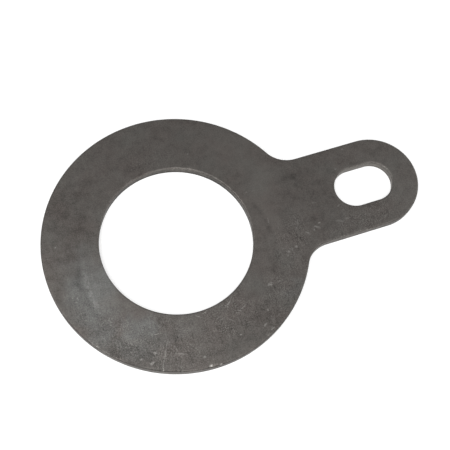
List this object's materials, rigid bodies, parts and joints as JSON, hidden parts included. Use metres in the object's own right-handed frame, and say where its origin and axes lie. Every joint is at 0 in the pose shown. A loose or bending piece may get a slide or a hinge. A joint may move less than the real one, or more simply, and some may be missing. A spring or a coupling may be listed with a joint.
{
  "type": "tabbed thrust washer",
  "caption": "Flat ring with a large bore and a round-ended tab, blended in by fillets, with a short slot that takes a locking bolt.",
  "frame": {"origin": "on the lower face, midway along the overall length, on the centreline through the bore and the tab", "axes": "+X from the bore towards the tab's end, +Z square to the flat faces, towards the side whose edges are rolled over"},
  "size_m": [0.1306, 0.0888, 0.0032],
  "materials": {
    "steel_plate": "dark satin steel as it leaves the press, with cloudy mottling, a cooler and paler patch, a faint rubbed circle, fine pale scratches and flecks, and sheared edges"
  },
  "bodies": {
    "root": {"thrust_washer": "steel_plate"}
  },
  "joints": []
}
